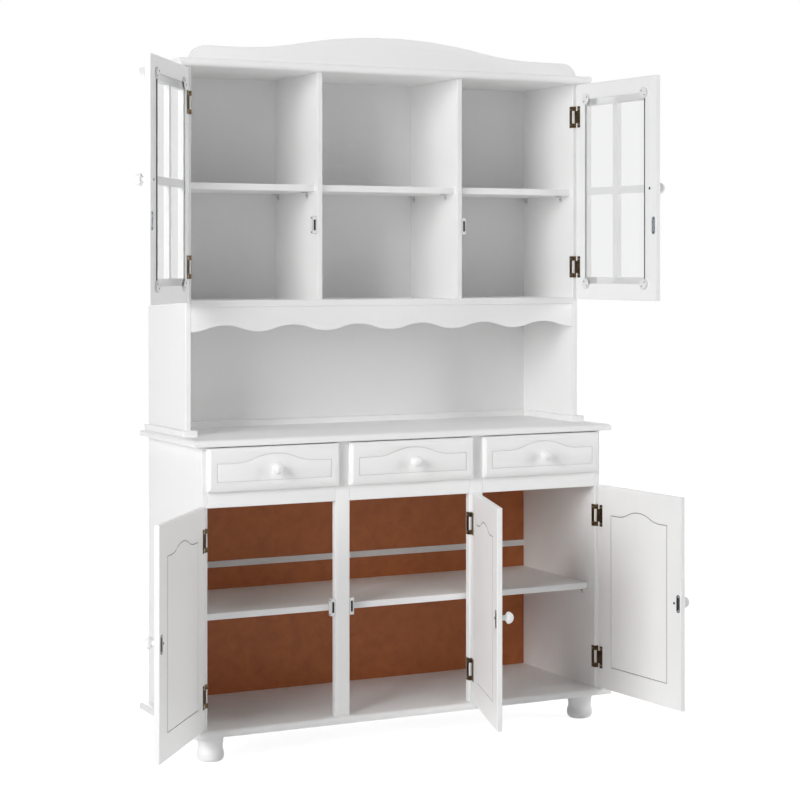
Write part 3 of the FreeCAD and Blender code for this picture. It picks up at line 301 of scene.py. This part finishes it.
def finish_of(node):
    if node in BY_NODE:
        return BY_NODE[node]
    for ending, material in BY_ENDING.items():
        if node.endswith(ending):
            return material
    return LACQUER["z"]


for node_name, node_object in NODES.items():
    for number in range(len(node_object.material_slots)):
        node_object.material_slots[number].link = "OBJECT"
        node_object.material_slots[number].material = finish_of(node_name)

# Pieces in place of plain nodes

WELD = 0.01 * MM
FLAT = radians(0.5)
SHADED_SMOOTH = radians(35)
CRISP = radians(50)

BODY_OF = {}
for body_name, body_nodes in frame["record"]["behaviour"]["bodies"].items():
    for body_node in body_nodes:
        BODY_OF[body_node] = body_name


def welded(node):
    """The mesh of a node, with its faces joined and its flat faces whole."""
    mesh = bmesh.new()
    mesh.from_mesh(NODES[node].data)
    bmesh.ops.remove_doubles(mesh, verts=mesh.verts, dist=WELD)
    bmesh.ops.dissolve_limit(mesh, angle_limit=FLAT, verts=mesh.verts, edges=mesh.edges)
    return mesh


def stand_in(node, suffix, mesh, materials):
    """An object from the mesh that takes the place of the node."""
    data = bpy.data.meshes.new(f"{node}_{suffix}")
    mesh.to_mesh(data)
    mesh.free()
    made = bpy.data.objects.new(f"{node}_{suffix}", data)
    bpy.context.scene.collection.objects.link(made)
    for material in materials:
        data.materials.append(material)
    data.set_sharp_from_angle(angle=SHADED_SMOOTH)
    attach(made, BODY_OF[node])
    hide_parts(node)
    return made


def is_crisp(edge):
    return len(edge.link_faces) == 2 and edge.calc_face_angle() > CRISP


def soften(mesh, width, segments=2):
    """Rounds the crisp edges, as sanding and lacquer do."""
    bmesh.ops.bevel(
        mesh,
        geom=[edge for edge in mesh.edges if is_crisp(edge)],
        offset=width,
        segments=segments,
        profile=0.5,
        affect="EDGES",
        clamp_overlap=True,
    )


def islands(mesh):
    """The separate pieces in a mesh, each a list of faces."""
    left = set(mesh.faces)
    while left:
        piece, waiting = [], [left.pop()]
        while waiting:
            face = waiting.pop()
            piece.append(face)
            for edge in face.edges:
                for other in edge.link_faces:
                    if other in left:
                        left.remove(other)
                        waiting.append(other)
        yield piece


def height_of(faces):
    levels = [corner.co.z for face in faces for corner in face.verts]
    return max(levels) - min(levels)


def pane(door):
    """The pane of a door: its edge that stands nearest to the front is darkened with painted shade,
    the others pale.
    """
    mesh = welded(f"{door}_glass")
    largest = max(face.calc_area() for face in mesh.faces)
    edges = [face for face in mesh.faces if face.calc_area() < largest / 2]
    nearest = min(edges, key=lambda face: face.calc_center_median().y)
    for face in edges:
        # The nearest edge takes the painted shade, the others the plain pale edge
        face.material_index = 1 if face is nearest else 2
    soften(mesh, PANE_BEVEL, segments=1)
    made = stand_in(f"{door}_glass", "pane", mesh, (GLASS, SHADED_GLASS_EDGE, PALE_EDGE))
    # Light passes through the pane
    made.visible_shadow = False


def finished_by_height(node, steps, width):
    """The pieces of a node, softened, each with the finish of the first step it is lower than."""
    mesh = welded(node)
    for piece in islands(mesh):
        height = height_of(piece)
        number = next(n for n, (limit, _) in enumerate(steps) if height < limit)
        for face in piece:
            face.material_index = number
    soften(mesh, width)
    stand_in(node, "set", mesh, [material for _, material in steps])


def panel_with_joint(door):
    """The panel of a door, with a dull slope around it that is greyed with painted shade."""
    node = f"{door}_panel"
    mesh = welded(node)
    mesh.normal_update()
    outward = max(mesh.faces, key=lambda face: face.calc_area()).normal.copy()
    least, most = SLOPE
    for face in mesh.faces:
        # The sloped faces of the joint take the painted shade
        face.material_index = 1 if least < abs(face.normal.dot(outward)) < most else 0
    stand_in(node, "fielded", mesh, (finish_of(node), JOINT_SHADE))


def sunk_faces(mesh):
    """The faces of a groove: away from the rim of the front, and behind its face."""
    face_level = min(corner.co.y for corner in mesh.verts)
    spans = []
    for axis in (0, 2):
        places = [corner.co[axis] for corner in mesh.verts]
        spans.append((axis, min(places) + GROOVE_MARGIN, max(places) - GROOVE_MARGIN))
    for face in mesh.faces:
        inside = all(
            low < corner.co[axis] < high for corner in face.verts for axis, low, high in spans
        )
        if inside and face.calc_center_median().y > face_level + GROOVE_LEAST:
            yield face


def soft_board(node, width):
    """A sawn or moulded board, with soft edges and with painted shade in its groove if it has one.
    """
    mesh = welded(node)
    finishes = [finish_of(node)]
    if node.endswith("_drawer_front"):
        finishes.append(GROOVE_SHADE)
        for face in sunk_faces(mesh):
            # The groove's faces take the painted shade
            face.material_index = 1
    soften(mesh, width, segments=3)
    stand_in(node, "lacquered", mesh, finishes)


# Widths of the softened edges
PANE_BEVEL = 0.3 * MM
FIXING_BEVEL = 0.25 * MM
HINGE_BEVEL = 0.15 * MM
SUPPORT_BEVEL = 0.3 * MM
CATCH_BEVEL = 0.4 * MM
BOARD_BEVELS = {
    "crest_board": 1.6 * MM,
    "valance": 1.6 * MM,
    "left_drawer_front": 0.7 * MM,
    "middle_drawer_front": 0.7 * MM,
    "right_drawer_front": 0.7 * MM,
    "front_stiles": 0.8 * MM,
    "drawer_rails": 0.8 * MM,
}

# The slope of a panel's joint leans from the panel's face by a cosine between these
SLOPE = (0.3, 0.95)
# A groove keeps this far from the rim of a drawer front, and is at least this deep
GROOVE_MARGIN = 12 * MM
GROOVE_LEAST = 0.1 * MM

# Each step: pieces lower than this have this finish, and TALL is for all the others. A screw of a
# clip is 4 mm high, one of a strike plate 5 mm, one of a knob 8 mm and a clip 30 mm
TALL = 10
UPPER_FIXINGS = ((12 * MM, DARK_SCREW), (35 * MM, WHITE_PLASTIC), (TALL, ZINC))
LOWER_FIXINGS = ((6 * MM, ZINC), (12 * MM, DARK_SCREW), (TALL, STRIKE))
HINGES = ((6 * MM, BRASS_SCREW), (TALL, BRONZE))
WHITE_FITTINGS = ((6 * MM, DARK_SCREW), (TALL, WHITE_PLASTIC))

for door_name in UPPER_DOORS:
    pane(door_name)
for door_name in UPPER_DOORS + LOWER_DOORS:
    fixings = UPPER_FIXINGS if door_name in UPPER_DOORS else LOWER_FIXINGS
    finished_by_height(f"{door_name}_fixings", fixings, FIXING_BEVEL)
    finished_by_height(f"{door_name}_hinge_leaves", HINGES, HINGE_BEVEL)
finished_by_height("cabinet_hinges", HINGES, HINGE_BEVEL)
finished_by_height("shelf_supports", WHITE_FITTINGS, SUPPORT_BEVEL)
finished_by_height("magnetic_catches", WHITE_FITTINGS, CATCH_BEVEL)
for door_name in LOWER_DOORS:
    panel_with_joint(door_name)
for board_name, board_bevel in BOARD_BEVELS.items():
    soft_board(board_name, board_bevel)

# Floor, light and camera

WHITE = (1, 1, 1, 1)
FLOOR_COLOR = (0.95, 0.95, 0.95, 1)
FLOOR_ROUGHNESS = 0.9
FLOOR_SPECULAR = 0.1
FLOOR_REACH = 25
FLOOR_DROP = 0.2 * MM
# The floor's own glow, seen directly only: metres from the datum, and the strength there
FLOOR_GLOW = {"From Min": 1.2, "From Max": 4.5, "To Min": 0.72, "To Max": 1.0}
SKY = 0.02
LAMP_AIM = Vector((0.56, 0.1, 0.95))
LAMP_DISTANCE = 5.5
LAMP_WIDTH = 2.6
# Each lamp: the way to it and its power in watts
LAMPS = {
    "key": ((-0.82, -0.45, 0.26), 203),
    "fill": ((0.8, -0.5, 0.2), 113),
    "front": ((-0.35, -0.9, 0.1), 7),
    "top": ((0.1, -0.25, 0.95), 46),
    "back": ((0.25, 0.9, 0.2), 130),
}
SENSOR_WIDTH = 36
LENS = 91.41
SHIFT_Y = -0.1701
CAMERA_PLACE = (-1.93167, -4.9086, 1.28307)
CAMERA_TURN = radians(-26.82)


def seen_directly(tree):
    """1 for rays that carry the background itself: from the camera, in gloss and through glass."""
    path = tree.nodes.new("ShaderNodeLightPath")
    direct = path.outputs["Is Camera Ray"]
    for kind in ("Is Glossy Ray", "Is Transmission Ray"):
        either = tree.nodes.new("ShaderNodeMath")
        either.operation = "MAXIMUM"
        tree.links.new(direct, either.inputs[0])
        tree.links.new(path.outputs[kind], either.inputs[1])
        direct = either.outputs[0]
    return direct


def shown_directly(tree, hidden, shown):
    """A shader that is one thing for the light and another for rays that carry the background."""
    choice = tree.nodes.new("ShaderNodeMixShader")
    tree.links.new(seen_directly(tree), choice.inputs[0])
    tree.links.new(hidden, choice.inputs[1])
    tree.links.new(shown, choice.inputs[2])
    return choice.outputs[0]


def floor_glow(tree):
    """White light from the floor itself, which rises with the distance from the cabinet."""
    place = tree.nodes.new("ShaderNodeTexCoord")
    away = tree.nodes.new("ShaderNodeVectorMath")
    away.operation = "LENGTH"
    tree.links.new(place.outputs["Object"], away.inputs[0])
    level = tree.nodes.new("ShaderNodeMapRange")
    level.interpolation_type = "SMOOTHSTEP"
    for socket, value in FLOOR_GLOW.items():
        level.inputs[socket].default_value = value
    tree.links.new(away.outputs["Value"], level.inputs["Value"])
    glow = tree.nodes.new("ShaderNodeEmission")
    tree.links.new(level.outputs["Result"], glow.inputs["Strength"])
    return glow.outputs[0]


def floor_material():
    material = bpy.data.materials.new("pale_floor")
    material.use_nodes = True
    tree = material.node_tree
    shader = tree.nodes["Principled BSDF"]
    shader.inputs["Base Color"].default_value = FLOOR_COLOR
    shader.inputs["Roughness"].default_value = FLOOR_ROUGHNESS
    shader.inputs["Specular IOR Level"].default_value = FLOOR_SPECULAR
    both = tree.nodes.new("ShaderNodeAddShader")
    tree.links.new(shader.outputs[0], both.inputs[0])
    tree.links.new(floor_glow(tree), both.inputs[1])
    surface = shown_directly(tree, shader.outputs[0], both.outputs[0])
    tree.links.new(surface, tree.nodes["Material Output"].inputs["Surface"])
    return material


def make_floor():
    data = bpy.data.meshes.new("floor")
    reach = FLOOR_REACH
    corners = [(-reach, -reach, 0), (reach, -reach, 0), (reach, reach, 0), (-reach, reach, 0)]
    data.from_pydata(corners, [], [(0, 1, 2, 3)])
    floor = bpy.data.objects.new("floor", data)
    floor.location.z = -FLOOR_DROP
    data.materials.append(floor_material())
    bpy.context.scene.collection.objects.link(floor)
    floor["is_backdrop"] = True


def make_sky():
    """A faint even light all around, shown as plain white."""
    world = bpy.data.worlds.new("studio")
    bpy.context.scene.world = world
    world.use_nodes = True
    tree = world.node_tree
    soft = tree.nodes["Background"]
    white = tree.nodes.new("ShaderNodeBackground")
    for background, strength in ((soft, SKY), (white, 1)):
        background.inputs["Strength"].default_value = strength
        background.inputs["Color"].default_value = WHITE
    surface = shown_directly(tree, soft.outputs[0], white.outputs[0])
    tree.links.new(surface, tree.nodes["World Output"].inputs["Surface"])


def make_lamp(name, way, power):
    """A large soft lamp that looks at the middle of the cabinet."""
    data = bpy.data.lights.new(name, "AREA")
    data.shape = "SQUARE"
    data.size = LAMP_WIDTH
    data.energy = power
    lamp = bpy.data.objects.new(name, data)
    towards = Vector(way).normalized()
    lamp.location = LAMP_AIM + towards * LAMP_DISTANCE
    lamp.rotation_euler = towards.to_track_quat("Z", "Y").to_euler()
    bpy.context.scene.collection.objects.link(lamp)


def make_camera():
    """A level camera, with the picture shifted as in the photograph."""
    data = bpy.data.cameras.new("camera")
    data.sensor_width = SENSOR_WIDTH
    data.lens = LENS
    data.shift_y = SHIFT_Y
    camera = bpy.data.objects.new("camera", data)
    camera.location = CAMERA_PLACE
    camera.rotation_euler = (pi / 2, 0, CAMERA_TURN)
    bpy.context.scene.collection.objects.link(camera)
    bpy.context.scene.camera = camera


make_floor()
make_sky()
for lamp_name, (lamp_way, lamp_power) in LAMPS.items():
    make_lamp(lamp_name, lamp_way, lamp_power)
make_camera()
bpy.context.scene.view_settings.view_transform = "Standard"

plain = [[list(corner) for corner in box] for box in (CAD_BOX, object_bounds())]
